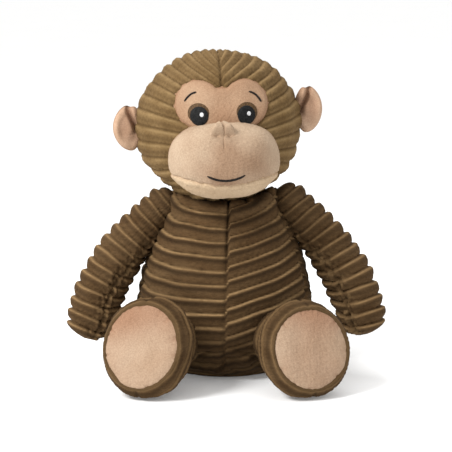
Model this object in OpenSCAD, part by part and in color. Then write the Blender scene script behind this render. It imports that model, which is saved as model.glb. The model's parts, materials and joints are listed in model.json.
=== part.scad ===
// Seated plush monkey in wide-rib plush, sewn from separate panels around stuffed cores.
// +Z is up and the toy faces -Y. The origin is on the floor, in the middle of the whole outline.
// "Left" and "right" are the monkey's own: its right side is at -X.

/* [Torso] */
// Height of the torso, from the floor to its flat top under the neck
torso_h = 147; // [130:1:176]
// Half width of the torso at the belly
torso_r = 81.5; // [68:0.5:98]
// Height of the widest place of the belly
belly_z = 48; // [40:1:58]
// Radius of the flat seat under the torso
seat_r = 56; // [46:1:67]
// Radius of the torso's flat top, where the neck is sewn on
neck_seat_r = 50; // [42:1:60]

/* [Head] */
// Width of the head across the temples
head_w = 149; // [130:1:172]
// Height of the head, which is also its depth
head_h = 136; // [120:1:150]
// Sideways place of the head
head_x = -7; // [-10:1:10]
// Forward place of the head
head_y = -5; // [-15:1:10]
// Sideways lean of the head, in degrees
head_tilt = 1; // [0:0.5:6]
// Turn of the face towards the monkey's left, in degrees
head_turn = 4; // [-6:0.5:6]
// Height of the neck between the torso and the head
neck_h = 5.6; // [5:0.1:9]
// Radius of the stuffed neck
neck_r = 26; // [22:0.5:27]
// Radius of the rounded top of the neck, on which the head nods
neck_ball_r = 30; // [29:0.5:32]

/* [Face] */
// Half width of the muzzle
muzzle_half_w = 47.5; // [40:0.5:56]
// Radius of the muzzle, seen from the side
muzzle_r = 35; // [29:0.5:38]
// How far the muzzle's middle lies below the head's middle
muzzle_drop = 21.5; // [17:0.5:26]
// How far the muzzle's middle lies in front of the head's middle
muzzle_y = 61; // [56:0.5:68]
// Half width of the nose
nose_half_w = 11; // [9:0.5:13]
// Radius of one rounded lobe of the face patch around an eye
lobe_r = 21.5; // [18:0.5:25]
// Distance from the middle of the face to a lobe's centre
lobe_x = 20; // [17:0.5:23]
// Height of a lobe's centre above the head's middle
lobe_z = 25.5; // [21:0.5:29]
// Distance from the middle of the face to an eye
eye_x = 20.3; // [17:0.1:24]
// Height of an eye above the head's middle
eye_z = 17.5; // [16.5:0.5:18]
// Radius of an eye's black embroidered disc
pupil_r = 7.5; // [6.5:0.1:9]
// Length of an eyebrow
brow_len = 14; // [11:0.5:17]
// Width of the smile from corner to corner
smile_w = 31; // [25:0.5:37]

/* [Ears] */
// Radius of an ear
ear_r = 20; // [16.5:0.5:24]
// Thickness of an ear at its middle
ear_t = 9; // [7:0.5:11]
// Height of the right ear's middle above the head's middle
right_ear_z = 0.5; // [-6:0.5:10]
// Height of the left ear's middle above the head's middle
left_ear_z = 13.5; // [4:0.5:18]

/* [Arms] */
// Radius of an arm where it is sewn to the shoulder
arm_root_r = 17.5; // [14.5:0.5:19]
// Radius of an arm at the elbow
arm_elbow_r = 21; // [18:0.5:25]
// Radius of an arm at the wrist
arm_wrist_r = 23; // [19:0.5:27]
// Radius of the hand's rounded end
hand_r = 21.5; // [18:0.5:26]
// Length of the upper arm
upper_arm_len = 45; // [38:1:54]
// Length of the forearm
forearm_len = 44; // [36:1:53]
// Length from the wrist to the middle of the hand
hand_len = 31; // [25:1:38]
// Angle of the upper arm from hanging straight down, in degrees
arm_out = 43; // [38:1:55]
// Bend at the elbow, in degrees
elbow_bend = 11; // [0:1:16]
// Bend at the wrist, in degrees
wrist_bend = 14; // [0:1:16]
// Forward lean of an arm, in degrees
arm_lean = 8; // [0:1:15]
// Distance of a shoulder outside the torso's flat top
shoulder_out = 9; // [7.5:0.5:11]
// Height of the right shoulder above the torso's flat top
right_shoulder_rise = -1.5; // [-2:0.25:6]
// Height of the left shoulder above the torso's flat top
left_shoulder_rise = 2.5; // [-2:0.25:8]

/* [Legs] */
// Radius of a leg's round end in the hip
hip_ball_r = 28; // [24:0.5:30]
// Radius of a leg half way to the foot
shin_r = 30; // [25:0.5:35]
// Radius of the round foot
foot_r = 41; // [36:0.5:46]
// Distance from the hip to the sole
leg_len = 72; // [62:1:82]
// Thickness of the foot from its middle to the sole
foot_front = 22; // [18:0.5:26]
// Height of a hip above the floor
hip_z = 38; // [35:0.5:41]
// Depth of a hip inside the torso's side
hip_inset = 8; // [6:0.5:10]
// Place of a hip round the torso, in degrees from straight in front
hip_round = 37; // [34:1:45]
// Outward turn of a leg, in degrees
leg_turn = 21; // [12:1:28]
// Upward slope of the right leg, in degrees
right_leg_rise = 3; // [1:0.5:8]
// Upward slope of the left leg, in degrees
left_leg_rise = 2; // [1:0.5:8]

/* [Cloth and fits] */
// Thickness of the ribbed plush
plush_t = 3; // [2:0.25:4]
// Width of the turned-in edges between two panels
seam_w = 1.2; // [0.8:0.1:2]
// Thickness of a seam ring inside a shoulder or hip
ring_t = 1.5; // [1:0.1:2]
// Gap between a panel and what it covers
lining_gap = 0.3; // [0.2:0.05:0.5]
// Gap between two pieces that move on each other
joint_gap = 0.4; // [0.3:0.05:0.6]
// Gap left free where an arm passes the torso
pass_gap = 1; // [0.6:0.1:2]
// Height of embroidery above the plush
stitch_h = 0.5; // [0.3:0.1:0.8]
// Depth of embroidery in the plush
stitch_depth = 0.7; // [0.4:0.1:1]

/* [Hidden] */
$fn = 96;

// Colours
fur = "#6b4f33";
crown_fur = "#7d5d3b";
skin = "#d9a183";
chin_skin = "#e3b08c";
padding = "#e8e2d6";
thread = "#3d2b1b";
black = "#151210";
iris_brown = "#5a3317";

// How far the balls at a limb's bends stand out of the bars between them
knuckle = 0.5;

// Side signs
RIGHT = -1;
LEFT = 1;
far = 400;

spindle_steps = 24;

// Torso profile: a low bowl up to the belly, then a dome cut off flat at the neck
bowl_steps = 5;
dome_steps = 8;
dome_power = 1.6;
dome_h = (torso_h - belly_z) / pow(1 - pow(neck_seat_r / torso_r, 2), 1 / dome_power);
bowl_h = belly_z / sqrt(1 - pow(seat_r / torso_r, 2));
function torso_radius(z) = z < belly_z
    ? torso_r * sqrt(1 - pow((belly_z - z) / bowl_h, 2))
    : torso_r * sqrt(1 - pow((z - belly_z) / dome_h, dome_power));

// Limb and head places, from the torso's middle on the floor
shoulder_x = neck_seat_r + shoulder_out;
function shoulder_z(side) = torso_h + (side == LEFT ? left_shoulder_rise : right_shoulder_rise);
function hip_at(side) = [
    side * (torso_radius(hip_z) - hip_inset) * sin(hip_round),
    -(torso_radius(hip_z) - hip_inset) * cos(hip_round),
    hip_z
];
function leg_rise(side) = side == LEFT ? left_leg_rise : right_leg_rise;
head_r = head_h / 2;
head_half_w = head_w / 2;
head_z = torso_h + neck_h + head_r;
neck_ball_depth = 10;
neck_ball_z = torso_h - neck_ball_depth;
neck_seam_z = 1.6;
neck_seam_r = 0.8;

// Bag of pellets in the seat
bag_r = 34;
bag_h = 18;

// Ring and socket radii round a shoulder and a hip
shoulder_ring_r = arm_root_r + joint_gap + ring_t;
shoulder_socket_r = shoulder_ring_r + joint_gap;
hip_ring_r = hip_ball_r + joint_gap + ring_t;
hip_socket_r = hip_ring_r + joint_gap;
ring_open = 17;
ring_edge = 45;

// Leg: the foot is a ball cut off by the sole, and the way for the leg through the torso flares
arc_steps = 8;
foot_at = leg_len - foot_front;
sole_r = sqrt(pow(foot_r, 2) - pow(foot_front, 2));
way_flare = 42;

// Shoulder: polar angle at which the socket goes over into the arm's cone
way_angle = 60;

// Eyes, brows, mouth and nose
iris_r = pupil_r + 1.7;
iris_shift = [1.5, 2.4];
glint_r = 1.8;
glint_at = [2.2, 1.3];
brow_w = 1.8;
brow_at = [27.5, 31.5];
brow_slope = 40;
smile_r = 29;
smile_z = muzzle_drop + 15;
stitch_gap = 0.15;
nose_z = 4.5;
nose_y = 84;
nose_r = [nose_half_w, 12, 9];
nostril_x = 5.2;
nostril_r = 1.6;
chin_slope = 26;
chin_front_z = 42;

// Ears
ear_root_r = ear_t / 2;
ear_y = -3;
ear_sunk = 4;
ear_x = head_half_w + ear_root_r + 0.6;
ear_lens_r = (pow(ear_r, 2) + pow(ear_t / 2, 2)) / ear_t;

// Whole outline: feet in front, the back of the torso behind
front_reach = -hip_at(RIGHT)[1] + leg_len * cos(leg_turn)
    + norm([sole_r * sin(leg_turn), sole_r * sin(right_leg_rise)]);
back_reach = torso_r;
middle_y = (front_reach - back_reach) / 2;

// ---- shared shapes ----

module placed() {
    translate([0, middle_y, 0]) children();
}

// Half space on one side of a plane through the origin
module half(direction) {
    rotate([0, acos(direction[2]), atan2(direction[1], direction[0])])
        translate([-far, -far, 0]) cube([2 * far, 2 * far, 2 * far]);
}

// The half of everything in front of (face -1) or behind (face 1) a limb's middle
module face_half(face) {
    translate([-far, face > 0 ? lining_gap / 2 : -far - lining_gap / 2, -far])
        cube([2 * far, far, 2 * far]);
}

// Spindle that is round about X, with an elliptical outline
module spindle(half_w, r) {
    rotate([0, 90, 0]) rotate_extrude() polygon([
        for (i = [0 : spindle_steps]) let (a = -90 + 180 * i / spindle_steps)
            [r * sin(90 - abs(a)), half_w * sin(a)]
    ]);
}

// Round bar from a to b in the XZ plane, ending in a slightly larger ball
module taper(a, b, ra, rb) {
    d = b - a;
    translate(a) rotate([0, atan2(d[0], d[2]), 0])
        cylinder(h = norm(d), r1 = ra - knuckle, r2 = rb - knuckle);
    translate(b) sphere(rb);
}

// ---- torso ----

module torso_solid(inset) {
    bottom = inset;
    top = torso_h - inset;
    heights = concat(
        [for (i = [0 : bowl_steps]) bottom + (belly_z - bottom) * sin(90 * i / bowl_steps)],
        [for (i = [1 : dome_steps]) belly_z + (top - belly_z) * i / dome_steps]
    );
    rotate_extrude() polygon(concat(
        [[0, bottom]], [for (z = heights) [torso_radius(z) - inset, z]], [[0, top]]
    ));
}

// Room in the torso for a shoulder: a round socket that opens to a cone where the upper arm swings past
module arm_way(side) {
    elbow_r = upper_arm_len * cos(arm_out) + arm_elbow_r * sin(arm_out);
    elbow_x = upper_arm_len * sin(arm_out) - arm_elbow_r * cos(arm_out) - pass_gap;
    translate([side * shoulder_x, 0, shoulder_z(side)]) rotate([0, side * 90, 0]) rotate_extrude()
        polygon(concat(
            [for (i = [0 : arc_steps]) let (a = way_angle * i / arc_steps)
                [shoulder_socket_r * sin(a), -shoulder_socket_r * cos(a)]],
            [[elbow_r, elbow_x], [0, elbow_x]]
        ));
}

// Room in the torso for a hip: a round socket that flares open along the leg
module leg_way(side) {
    way = hip_inset * 3;
    place_leg(side) {
        sphere(hip_socket_r);
        rotate([90, 0, 0])
            cylinder(h = way, r1 = hip_socket_r + knuckle, r2 = hip_socket_r + way * tan(way_flare));
    }
}

module limb_ways() {
    for (side = [RIGHT, LEFT]) {
        arm_way(side);
        leg_way(side);
    }
}

module torso_shell() {
    difference() {
        torso_solid(0);
        torso_solid(plush_t);
        translate([-far, -far, -far]) cube([2 * far, 2 * far, far + plush_t + lining_gap]);
    }
}

// One quarter of the torso's plush: side is left or right, face is -1 in front and 1 behind
module torso_panel(side, face) {
    placed() difference() {
        intersection() {
            torso_shell();
            translate([side > 0 ? seam_w / 2 : -far - seam_w / 2, face > 0 ? lining_gap / 2 : -far, 0])
                cube([far, far - lining_gap / 2, far]);
        }
        arm_way(side);
        if (face < 0) leg_way(side);
    }
}

module torso_front_right_panel() { color(fur) torso_panel(RIGHT, -1); }
module torso_front_left_panel() { color(fur) torso_panel(LEFT, -1); }
module torso_back_right_panel() { color(fur) torso_panel(RIGHT, 1); }
module torso_back_left_panel() { color(fur) torso_panel(LEFT, 1); }

module seat_panel() {
    color(fur) placed() intersection() {
        torso_solid(0);
        translate([-far, -far, 0]) cube([2 * far, 2 * far, plush_t]);
    }
}

// Turned-in edges between the two panels of one face
module torso_seam(face) {
    placed() intersection() {
        torso_shell();
        translate([-seam_w / 2, face > 0 ? lining_gap : -far - lining_gap, 0]) cube([seam_w, far, far]);
    }
}

module chest_seam() { color(thread) torso_seam(-1); }
module back_seam() { color(thread) torso_seam(1); }

module bag_solid(grow) {
    translate([0, 0, plush_t + 2 * lining_gap - grow / 2]) cylinder(h = bag_h + grow, r = bag_r + grow);
}

module torso_stuffing() {
    color(padding) placed() difference() {
        torso_solid(plush_t + lining_gap);
        limb_ways();
        translate([0, 0, -lining_gap]) bag_solid(2 * lining_gap);
    }
}

module seat_pellet_bag() {
    color("#b9b3a6") placed() bag_solid(0);
}

// ---- neck ----

module neck_plug() {
    color(padding) placed() translate([head_x, head_y, 0]) difference() {
        intersection() {
            translate([0, 0, neck_ball_z]) sphere(neck_ball_r);
            translate([0, 0, torso_h + joint_gap]) cylinder(h = neck_ball_r, r = neck_r);
        }
        translate([0, 0, torso_h + neck_seam_z]) rotate_extrude() translate([neck_r, 0])
            circle(neck_seam_r + stitch_gap);
    }
}

module neck_seam() {
    color(thread) placed() translate([head_x, head_y, torso_h + neck_seam_z]) rotate_extrude()
        translate([neck_r, 0]) circle(neck_seam_r);
}

// ---- head ----

module place_head() {
    placed() translate([head_x, head_y, head_z]) rotate([0, -head_tilt, head_turn]) children();
}

module head_solid(inset) {
    spindle(head_half_w - inset, head_r - inset);
}

// Hollow in the head's underside for the rounded neck, in the head's own frame
module neck_socket() {
    rotate([0, head_tilt, 0]) translate([0, 0, neck_ball_z - head_z]) sphere(neck_ball_r + joint_gap);
}

// Face patch outline, seen from the front and pushed through the front of the head
module face_prism(grow) {
    intersection() {
        rotate([90, 0, 0]) linear_extrude(height = far) {
            for (side = [RIGHT, LEFT]) translate([side * lobe_x, lobe_z]) circle(lobe_r + grow);
            translate([0, -muzzle_drop]) circle(muzzle_r - 2 + grow);
            translate([-lobe_x, -muzzle_drop / 2 - grow]) square([2 * lobe_x, lobe_z + muzzle_drop / 2]);
        }
        translate([-far, -far, -far]) cube([2 * far, far, 2 * far]);
    }
}

module head_shell() {
    difference() {
        head_solid(0);
        head_solid(plush_t);
        neck_socket();
    }
}

module head_panel(side) {
    place_head() difference() {
        intersection() {
            head_shell();
            translate([side > 0 ? seam_w / 2 : -far - seam_w / 2, -far, -far]) cube([far, 2 * far, 2 * far]);
        }
        face_prism(lining_gap);
    }
}

module head_right_panel() { color(crown_fur) head_panel(RIGHT); }
module head_left_panel() { color(crown_fur) head_panel(LEFT); }

module crown_seam() {
    color(thread) place_head() difference() {
        intersection() {
            head_shell();
            translate([-seam_w / 2, -far, -far]) cube([seam_w, 2 * far, 2 * far]);
        }
        face_prism(lining_gap);
    }
}

// A thin layer at the plush's surface, in which embroidery lies
module head_layer(gap) {
    difference() {
        head_solid(-stitch_h);
        head_solid(stitch_depth + gap);
    }
}

module disc_prism(at, r) {
    translate([at[0], 0, at[1]]) rotate([90, 0, 0]) cylinder(h = far, r = r);
}

module pupil_prism(side, grow) {
    disc_prism([side * eye_x, eye_z], pupil_r + grow);
}

module iris_prism(side, grow) {
    disc_prism([side * (eye_x + iris_shift[0]), eye_z + iris_shift[1]], iris_r + grow);
}

module glint_prism(side, grow) {
    disc_prism([side * eye_x + glint_at[0], eye_z + glint_at[1]], glint_r + grow);
}

module brow_prism(side, grow) {
    w = brow_w + 2 * grow;
    translate([side * brow_at[0], 0, brow_at[1]]) rotate([90, side * brow_slope, 0])
        linear_extrude(height = far) {
            square([brow_len, w], center = true);
            for (end = [-1, 1]) translate([end * brow_len / 2, 0]) circle(w / 2);
        }
}

module face_panel() {
    color(skin) place_head() difference() {
        intersection() {
            head_shell();
            face_prism(0);
        }
        for (side = [RIGHT, LEFT]) intersection() {
            head_layer(stitch_gap);
            union() {
                pupil_prism(side, stitch_gap);
                iris_prism(side, stitch_gap);
                brow_prism(side, stitch_gap);
            }
        }
    }
}

module eye_pupil(side) {
    color(black) place_head() difference() {
        intersection() {
            head_layer(0);
            pupil_prism(side, 0);
        }
        glint_prism(side, stitch_gap);
    }
}

module eye_iris(side) {
    color(iris_brown) place_head() difference() {
        intersection() {
            head_layer(0);
            iris_prism(side, 0);
        }
        pupil_prism(side, stitch_gap);
    }
}

module eye_glint(side) {
    color("white") place_head() intersection() {
        head_layer(0);
        glint_prism(side, 0);
    }
}

module brow(side) {
    color(thread) place_head() intersection() {
        head_layer(0);
        brow_prism(side, 0);
    }
}

module right_eye_pupil() { eye_pupil(RIGHT); }
module right_eye_iris() { eye_iris(RIGHT); }
module right_eye_glint() { eye_glint(RIGHT); }
module right_brow() { brow(RIGHT); }
module left_eye_pupil() { eye_pupil(LEFT); }
module left_eye_iris() { eye_iris(LEFT); }
module left_eye_glint() { eye_glint(LEFT); }
module left_brow() { brow(LEFT); }

module head_stuffing() {
    color(padding) place_head() difference() {
        head_solid(plush_t + lining_gap);
        neck_socket();
    }
}

// ---- muzzle ----

module muzzle_solid(inset) {
    translate([0, -muzzle_y, -muzzle_drop]) spindle(muzzle_half_w - inset, muzzle_r - inset);
}

module nose_solid() {
    translate([0, -nose_y, nose_z]) scale(nose_r / 10) sphere(10);
}

// Everything of the muzzle that lies in front of the head's plush
module in_front_of_head() {
    difference() {
        children();
        head_solid(-lining_gap);
    }
}

// Below the seam between muzzle and chin, which rises towards the back
module below_chin_seam(gap) {
    translate([0, -muzzle_y - muzzle_r, -chin_front_z - gap]) rotate([chin_slope, 0, 0])
        translate([-far, -far, -far]) cube([2 * far, 2 * far, far]);
}

module smile_prism(grow) {
    a = asin(smile_w / 2 / smile_r);
    translate([0, 0, smile_r - smile_z]) rotate([90, 0, 0]) rotate([0, 0, -90 - a])
        translate([0, 0, muzzle_y]) rotate_extrude(angle = 2 * a)
            translate([smile_r - brow_w / 2 - grow, 0]) square([brow_w + 2 * grow, far]);
}

module muzzle_layer(gap) {
    difference() {
        muzzle_solid(-stitch_h);
        muzzle_solid(stitch_depth + gap);
    }
}

module muzzle_skin() {
    in_front_of_head() difference() {
        union() {
            muzzle_solid(0);
            nose_solid();
        }
        muzzle_solid(plush_t);
        intersection() {
            smile_prism(stitch_gap);
            muzzle_layer(stitch_gap);
        }
    }
}

module muzzle_panel() {
    color(skin) place_head() difference() {
        muzzle_skin();
        below_chin_seam(0);
        nostrils(stitch_gap);
    }
}

module chin_panel() {
    color(chin_skin) place_head() intersection() {
        muzzle_skin();
        below_chin_seam(lining_gap);
    }
}

module muzzle_stuffing() {
    color(padding) place_head() in_front_of_head() muzzle_solid(plush_t + lining_gap);
}

module mouth_line() {
    color(thread) place_head() intersection() {
        smile_prism(0);
        muzzle_layer(0);
    }
}

// Two stitched dimples under the nose
module nostrils(grow) {
    for (side = [RIGHT, LEFT]) translate([side * nostril_x, -nose_y - nose_r[1] + 2.5, nose_z - 2])
        sphere(nostril_r + grow);
}

module nose_stitches() {
    color(thread) place_head() nostrils(0);
}

// ---- ears ----

module place_ear(side) {
    place_head() translate([side * ear_x, ear_y, side == LEFT ? left_ear_z : right_ear_z]) children();
}

// A lens with a rounded root along the fold
module ear_solid(side) {
    intersection() {
        ear_lens(side);
        translate([side > 0 ? 0 : -far, -far, -far]) cube([far, 2 * far, 2 * far]);
    }
    cylinder(h = 1.5 * ear_r, r = ear_root_r, center = true);
}

module ear_lens(side) {
    translate([-side * ear_sunk, 0, 0]) intersection() {
        translate([0, ear_lens_r - ear_t / 2, 0]) sphere(ear_lens_r, $fn = 180);
        translate([0, ear_t / 2 - ear_lens_r, 0]) sphere(ear_lens_r, $fn = 180);
    }
}

module ear_half(side, face) {
    place_ear(side) intersection() {
        ear_solid(side);
        face_half(face);
    }
}

module right_ear_front() { color(skin) ear_half(RIGHT, -1); }
module right_ear_back() { color(skin) ear_half(RIGHT, 1); }
module left_ear_front() { color(skin) ear_half(LEFT, -1); }
module left_ear_back() { color(skin) ear_half(LEFT, 1); }

// ---- arms ----

// Frame of an arm: the origin in the shoulder, +X outwards and -Z down
module place_arm(side) {
    placed() translate([side * shoulder_x, 0, shoulder_z(side)]) rotate([-arm_lean, 0, 0])
        mirror([side > 0 ? 0 : 1, 0, 0]) children();
}

function arm_step(len, angle) = len * [sin(angle), 0, -cos(angle)];
elbow_at = arm_step(upper_arm_len, arm_out);
wrist_at = elbow_at + arm_step(forearm_len, arm_out - elbow_bend);
hand_at = wrist_at + arm_step(hand_len, arm_out - elbow_bend - wrist_bend);

module arm_solid(inset) {
    sphere(arm_root_r - inset);
    taper([0, 0, 0], elbow_at, arm_root_r - inset, arm_elbow_r - inset);
    taper(elbow_at, wrist_at, arm_elbow_r - inset, arm_wrist_r - inset);
    taper(wrist_at, hand_at, arm_wrist_r - inset, hand_r - inset);
}

module arm_panel(side, face) {
    color(fur) place_arm(side) intersection() {
        difference() {
            arm_solid(0);
            arm_solid(plush_t);
        }
        face_half(face);
    }
}

module arm_stuffing(side) {
    color(padding) place_arm(side) arm_solid(plush_t + lining_gap);
}

// Hem of the arm, turned in behind its round end
module shoulder_seam(side) {
    color(thread) place_arm(side) intersection() {
        difference() {
            sphere(shoulder_ring_r);
            sphere(arm_root_r + joint_gap);
        }
        translate([-shoulder_ring_r * cos(ring_open), -far, -far])
            cube([shoulder_ring_r * (cos(ring_open) - cos(ring_edge)), 2 * far, 2 * far]);
    }
}

module right_shoulder_seam() { shoulder_seam(RIGHT); }
module right_arm_front_panel() { arm_panel(RIGHT, -1); }
module right_arm_back_panel() { arm_panel(RIGHT, 1); }
module right_arm_stuffing() { arm_stuffing(RIGHT); }
module left_shoulder_seam() { shoulder_seam(LEFT); }
module left_arm_front_panel() { arm_panel(LEFT, -1); }
module left_arm_back_panel() { arm_panel(LEFT, 1); }
module left_arm_stuffing() { arm_stuffing(LEFT); }

// ---- legs ----

// Frame of a leg inside the torso's frame: the origin in the hip, -Y along the leg
module place_leg(side) {
    translate(hip_at(side)) rotate([0, 0, side * leg_turn]) rotate([-leg_rise(side), 0, 0]) children();
}

// One outline from the round end in the hip, over the shin, to a ball cut off by the sole
module leg_solid(inset, front) {
    hip_r = hip_ball_r - inset;
    ball_r = foot_r - inset;
    from_angle = -28;
    to_angle = asin(min(1, (front - foot_at) / ball_r));
    rotate([90, 45, 0]) rotate_extrude() polygon(concat(
        [for (i = [0 : arc_steps]) let (a = 90 * i / arc_steps) [hip_r * sin(a), -hip_r * cos(a)]],
        [[shin_r - inset, foot_at / 2]],
        [for (i = [0 : arc_steps]) let (a = from_angle + (to_angle - from_angle) * i / arc_steps)
            [ball_r * cos(a), foot_at + ball_r * sin(a)]],
        [[0, foot_at + ball_r * sin(to_angle)]]
    ));
}

// A leg is flat where its foot rests on the floor
module leg_part(side, inset, front) {
    intersection() {
        placed() place_leg(side) leg_solid(inset, front);
        translate([-far, -far, inset]) cube([2 * far, 2 * far, far]);
    }
}

module leg_panel(side, face) {
    color(fur) difference() {
        leg_part(side, 0, leg_len - plush_t - lining_gap);
        leg_part(side, plush_t, leg_len + plush_t);
        placed() place_leg(side) translate([-far, -far, face > 0 ? -far + lining_gap / 2 : -lining_gap / 2])
            cube([2 * far, 2 * far, far]);
    }
}

module leg_stuffing(side) {
    color(padding) leg_part(side, plush_t + lining_gap, leg_len - plush_t - lining_gap);
}

module sole(side) {
    color(skin) difference() {
        leg_part(side, 0, leg_len);
        placed() place_leg(side) translate([-far, plush_t - leg_len, -far])
            cube([2 * far, 2 * far, 2 * far]);
    }
}

// Hem of the leg, turned in behind its round end
module hip_seam(side) {
    color(thread) placed() place_leg(side) intersection() {
        difference() {
            sphere(hip_ring_r);
            sphere(hip_ball_r + joint_gap);
        }
        translate([-far, hip_ring_r * cos(ring_edge), -far])
            cube([2 * far, hip_ring_r * (cos(ring_open) - cos(ring_edge)), 2 * far]);
    }
}

module right_hip_seam() { hip_seam(RIGHT); }
module right_leg_top_panel() { leg_panel(RIGHT, 1); }
module right_leg_bottom_panel() { leg_panel(RIGHT, -1); }
module right_sole() { sole(RIGHT); }
module right_leg_stuffing() { leg_stuffing(RIGHT); }
module left_hip_seam() { hip_seam(LEFT); }
module left_leg_top_panel() { leg_panel(LEFT, 1); }
module left_leg_bottom_panel() { leg_panel(LEFT, -1); }
module left_sole() { sole(LEFT); }
module left_leg_stuffing() { leg_stuffing(LEFT); }

torso_front_right_panel();
torso_front_left_panel();
torso_back_right_panel();
torso_back_left_panel();
seat_panel();
chest_seam();
back_seam();
torso_stuffing();
seat_pellet_bag();
neck_plug();
neck_seam();
head_right_panel();
head_left_panel();
crown_seam();
face_panel();
muzzle_panel();
chin_panel();
head_stuffing();
muzzle_stuffing();
right_eye_pupil();
right_eye_iris();
right_eye_glint();
right_brow();
left_eye_pupil();
left_eye_iris();
left_eye_glint();
left_brow();
mouth_line();
nose_stitches();
right_ear_front();
right_ear_back();
left_ear_front();
left_ear_back();
right_shoulder_seam();
right_arm_front_panel();
right_arm_back_panel();
right_arm_stuffing();
left_shoulder_seam();
left_arm_front_panel();
left_arm_back_panel();
left_arm_stuffing();
right_hip_seam();
right_leg_top_panel();
right_leg_bottom_panel();
right_sole();
right_leg_stuffing();
left_hip_seam();
left_leg_top_panel();
left_leg_bottom_panel();
left_sole();
left_leg_stuffing();
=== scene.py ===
"""A seated stuffed monkey in wide-rib plush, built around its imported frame."""
import json
import math

import bmesh
import bpy
import numpy as np
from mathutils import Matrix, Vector
from mathutils.bvhtree import BVHTree


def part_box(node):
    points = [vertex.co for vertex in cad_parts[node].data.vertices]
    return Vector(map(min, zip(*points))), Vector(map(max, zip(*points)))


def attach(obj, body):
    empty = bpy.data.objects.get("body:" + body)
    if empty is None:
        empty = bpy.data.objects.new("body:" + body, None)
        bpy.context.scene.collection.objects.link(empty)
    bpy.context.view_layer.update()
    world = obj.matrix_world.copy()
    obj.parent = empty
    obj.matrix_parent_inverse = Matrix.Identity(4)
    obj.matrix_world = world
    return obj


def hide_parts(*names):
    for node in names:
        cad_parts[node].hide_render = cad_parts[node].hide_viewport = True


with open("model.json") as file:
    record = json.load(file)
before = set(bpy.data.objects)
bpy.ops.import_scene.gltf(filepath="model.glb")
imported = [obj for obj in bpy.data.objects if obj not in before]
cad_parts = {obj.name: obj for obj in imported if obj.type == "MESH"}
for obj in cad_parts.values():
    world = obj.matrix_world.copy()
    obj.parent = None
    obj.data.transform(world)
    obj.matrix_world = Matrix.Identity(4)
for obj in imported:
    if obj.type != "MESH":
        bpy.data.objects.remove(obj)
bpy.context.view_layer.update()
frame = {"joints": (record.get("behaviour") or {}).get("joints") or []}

MM = 0.001
TAU = 2 * np.pi
RIGHT, LEFT = -1, 1
SIDE_NAMES = {RIGHT: "right", LEFT: "left"}


def joint(name):
    return next(j for j in frame["joints"] if j["name"] == name)


def joint_mm(name):
    return np.array(joint(name)["pos_m"]) / MM


# ---- dimensions in millimetres, in the frame ----

NECK = joint_mm("head_nod")
SHOULDER = {side: joint_mm(SIDE_NAMES[side] + "_arm_swing") for side in (RIGHT, LEFT)}
HIP = {side: joint_mm(SIDE_NAMES[side] + "_leg_splay") for side in (RIGHT, LEFT)}
SEAT_LOW, SEAT_HIGH = (np.array(corner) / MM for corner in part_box("torso_stuffing"))
TORSO_Y = (SEAT_LOW[1] + SEAT_HIGH[1]) / 2
PLUSH = 3.3
TORSO_TOP = SEAT_HIGH[2] + PLUSH
TORSO_R = (SEAT_HIGH[0] - SEAT_LOW[0]) / 2 + PLUSH
TORSO_TOP_R = 50.0
TORSO_X = -1.2
NECK_R = 33.5
NECK_PLEATS = 24

HEAD_C = np.array([NECK[0], NECK[1], 220.6])
HEAD_R = 68.0
HEAD_W = 74.5
HEAD_TILT = math.radians(1)
HEAD_TURN = math.radians(4)

# the pitch of the ribs on each part
RIB = 12.2
ARM_RIB = 11.6
LEG_RIB = 10.8
HEAD_RIB = 7.2


# ---- small maths ----

def smooth(a, b, x):
    t = np.clip((x - a) / (b - a), 0, 1)
    return t * t * (3 - 2 * t)


def bump(x, width):
    return np.exp(-(x / width) ** 2)


def waves(points, size, seed, count=9):
    """Smooth seeded noise of about -1 to 1 from plane waves, for points in millimetres."""
    rng = np.random.default_rng(seed)
    total = np.zeros(points.shape[:-1])
    for _ in range(count):
        direction = rng.normal(size=3)
        direction /= np.linalg.norm(direction)
        pitch = size * rng.uniform(0.6, 1.7)
        total += np.sin(points @ direction * TAU / pitch + rng.uniform(0, TAU))
    return total / math.sqrt(count)


def normals(grid):
    """Unit normals of a grid of points: rows run along v, columns round u."""
    du = np.roll(grid, -1, 1) - np.roll(grid, 1, 1)
    dv = np.gradient(grid, axis=0)
    n = np.cross(du, dv)
    return n / np.maximum(np.linalg.norm(n, axis=-1, keepdims=True), 1e-9)


def ridge(phase, power=0.6, crest=0.3):
    """Height of a rib, 0 in its crease and 1 on its crest. A crease is at each whole number."""
    f = phase - np.floor(phase)
    g = np.where(f < crest, 0.5 * f / crest, 0.5 + 0.5 * (f - crest) / (1 - crest))
    return np.sin(np.pi * g) ** power


def rib_marks(phase, lip=0.10, band=0.36):
    """The pale line along a rib's first edge, and painted shade: a band below it where the rib above
    overhangs and the pile faces away, and a thin line in the crease itself.
    """
    f = phase - np.floor(phase)
    return bump(f - lip, 0.07), np.maximum(bump(f - band, 0.20), 0.8 * bump(np.minimum(f, 1 - f), 0.035))


def lathe(profile, centre, columns):
    """Turns a list of (radius, height) about Z. Column 0 is in front and columns run towards +X."""
    a = np.arange(columns) * TAU / columns
    r, z = profile[:, :1], profile[:, 1:]
    x = centre[0] + r * np.sin(a)
    y = centre[1] - r * np.cos(a)
    return np.stack([x, y, np.broadcast_to(z, x.shape)], -1), np.broadcast_to(a, x.shape)


def resample(path, step):
    """Points at even steps along a polyline."""
    path = np.asarray(path, float)
    lengths = np.r_[0, np.cumsum(np.linalg.norm(np.diff(path, axis=0), axis=1))]
    count = max(2, int(round(lengths[-1] / step)) + 1)
    at = np.linspace(0, lengths[-1], count)
    return np.stack([np.interp(at, lengths, path[:, k]) for k in range(path.shape[1])], -1), at


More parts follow.
